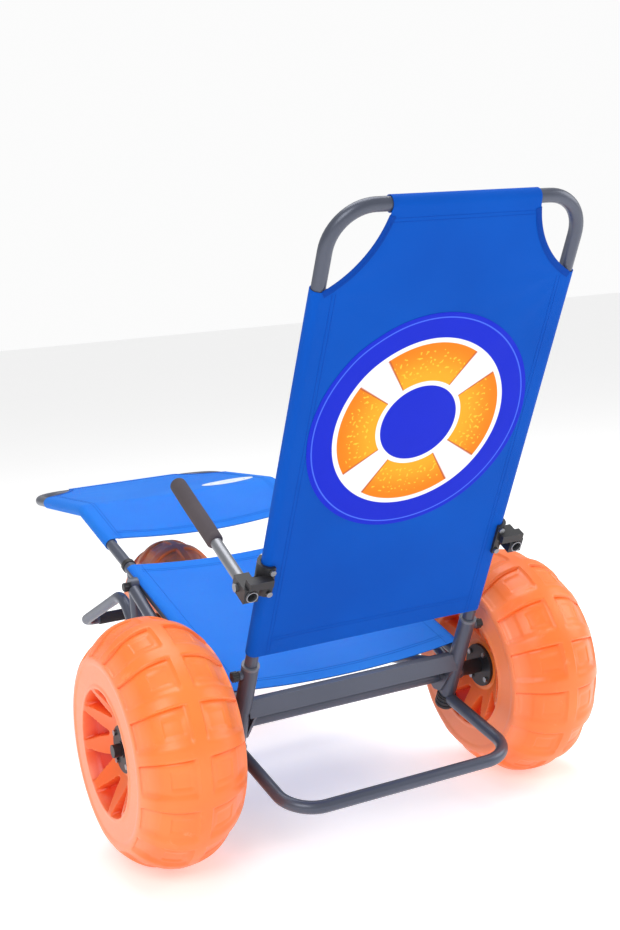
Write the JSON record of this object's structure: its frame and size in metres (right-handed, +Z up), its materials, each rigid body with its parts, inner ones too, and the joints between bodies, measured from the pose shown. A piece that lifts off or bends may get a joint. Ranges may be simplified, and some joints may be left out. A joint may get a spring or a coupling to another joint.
{
  "type": "beach wheelchair",
  "caption": "Reclined three-wheel beach wheelchair with balloon wheels, a sling seat on a tube frame, a plug-in backrest, a sliding leg rest, fold-up armrests and a push bar.",
  "frame": {"origin": "on the floor, under the middle of the object", "axes": "+Z up, +Y forward to the leg rest, +X to the sitter's right"},
  "size_m": [0.901, 1.6128, 1.0682],
  "materials": {
    "frame_paint": "satin blue-gray powder coat",
    "light_plastic": "smooth grey moulding",
    "rubber": "matt, lightly ribbed",
    "black_plastic": "fine-grained moulding",
    "steel": "zinc plated",
    "aluminium": "satin anodised",
    "foam": "closed-cell foam",
    "orange_plastic": "blow-moulded, softly glossy",
    "back_cloth": "woven polyester, plain weave",
    "seat_cloth": "woven polyester, plain weave, slightly see-through",
    "print": "screen print on cloth",
    "patch": "heat-pressed label"
  },
  "bodies": {
    "chassis": {"seat_rail_left": "frame_paint", "seat_rail_right": "frame_paint", "socket_left": "frame_paint", "socket_right": "frame_paint", "socket_bushes": "light_plastic", "cross_bar": "frame_paint", "axle_beam": "frame_paint", "gusset_plates": "frame_paint", "side_strut_left": "frame_paint", "side_strut_right": "frame_paint", "front_posts": "frame_paint", "front_cross_tube": "frame_paint", "lower_rails": "frame_paint", "fork_legs": "frame_paint", "foot_arm_left": "frame_paint", "foot_arm_right": "frame_paint", "foot_grips": "rubber", "tube_plugs": "black_plastic", "push_bar": "frame_paint", "foot_caps": "black_plastic", "stop_bolts": "steel", "rear_axle": "steel", "axle_collars": "black_plastic", "axle_caps": "black_plastic", "front_axle": "steel", "front_spacers": "steel", "front_nuts": "steel", "seat_fabric": "seat_cloth"},
    "backrest": {"back_tube": "frame_paint", "back_glides": "black_plastic", "back_fabric": "back_cloth", "back_print": "print", "arm_clamp_left": "black_plastic", "arm_clamp_right": "black_plastic", "clamp_bolts": "steel"},
    "armrest_left": {"arm_tube_left": "aluminium", "arm_knuckle_left": "black_plastic", "arm_grip_left": "foam"},
    "armrest_right": {"arm_tube_right": "aluminium", "arm_knuckle_right": "black_plastic", "arm_grip_right": "foam"},
    "legrest": {"leg_tube": "frame_paint", "leg_fabric": "seat_cloth", "leg_patch": "patch", "leg_collars": "black_plastic"},
    "wheel_rear_left_body": {"wheel_rear_left": "orange_plastic", "hub_rear_left": "black_plastic", "hub_screws_rear_left": "steel"},
    "wheel_rear_right_body": {"wheel_rear_right": "orange_plastic", "hub_rear_right": "black_plastic", "hub_screws_rear_right": "steel"},
    "wheel_front_body": {"wheel_front": "orange_plastic", "hub_front": "black_plastic", "hub_screws_front": "steel"},
    "back_knob_left_body": {"back_knob_left": "black_plastic"},
    "back_knob_right_body": {"back_knob_right": "black_plastic"},
    "leg_knob_left_body": {"leg_knob_left": "black_plastic"},
    "leg_knob_right_body": {"leg_knob_right": "black_plastic"}
  },
  "joints": [
    {"name": "wheel_rear_left_spin", "type": "hinge", "parent": "chassis", "child": "wheel_rear_left_body", "pos_m": [-0.357, -0.28226, 0.21], "axis": [1, 0, 0], "continuous": true},
    {"name": "wheel_rear_right_spin", "type": "hinge", "parent": "chassis", "child": "wheel_rear_right_body", "pos_m": [0.357, -0.28226, 0.21], "axis": [1, 0, 0], "continuous": true},
    {"name": "wheel_front_spin", "type": "hinge", "parent": "chassis", "child": "wheel_front_body", "pos_m": [0, 0.50774, 0.2], "axis": [1, 0, 0], "continuous": true},
    {"name": "backrest_slide", "type": "slide", "parent": "chassis", "child": "backrest", "axis": [0, -0.497, 0.8678], "range_m": [0, 0.068]},
    {"name": "legrest_slide", "type": "slide", "parent": "chassis", "child": "legrest", "axis": [0, 0.9466, 0.3223], "range_m": [0, 0.1]},
    {"name": "armrest_left_fold", "type": "hinge", "parent": "backrest", "child": "armrest_left", "pos_m": [-0.2536, -0.46727, 0.48595], "axis": [1, 0, 0], "range_deg": [0, 88]},
    {"name": "armrest_right_fold", "type": "hinge", "parent": "backrest", "child": "armrest_right", "pos_m": [0.2536, -0.46727, 0.48595], "axis": [1, 0, 0], "range_deg": [0, 88]},
    {"name": "back_knob_left_turn", "type": "hinge", "parent": "chassis", "child": "back_knob_left_body", "pos_m": [-0.24, -0.36986, 0.31587], "axis": [-1, 0, 0], "continuous": true},
    {"name": "leg_knob_left_turn", "type": "hinge", "parent": "chassis", "child": "leg_knob_left_body", "pos_m": [-0.255, 0.08958, 0.4008], "axis": [-1, 0, 0], "continuous": true},
    {"name": "back_knob_right_turn", "type": "hinge", "parent": "chassis", "child": "back_knob_right_body", "pos_m": [0.24, -0.36986, 0.31587], "axis": [1, 0, 0], "continuous": true},
    {"name": "leg_knob_right_turn", "type": "hinge", "parent": "chassis", "child": "leg_knob_right_body", "pos_m": [0.255, 0.08958, 0.4008], "axis": [1, 0, 0], "continuous": true}
  ]
}
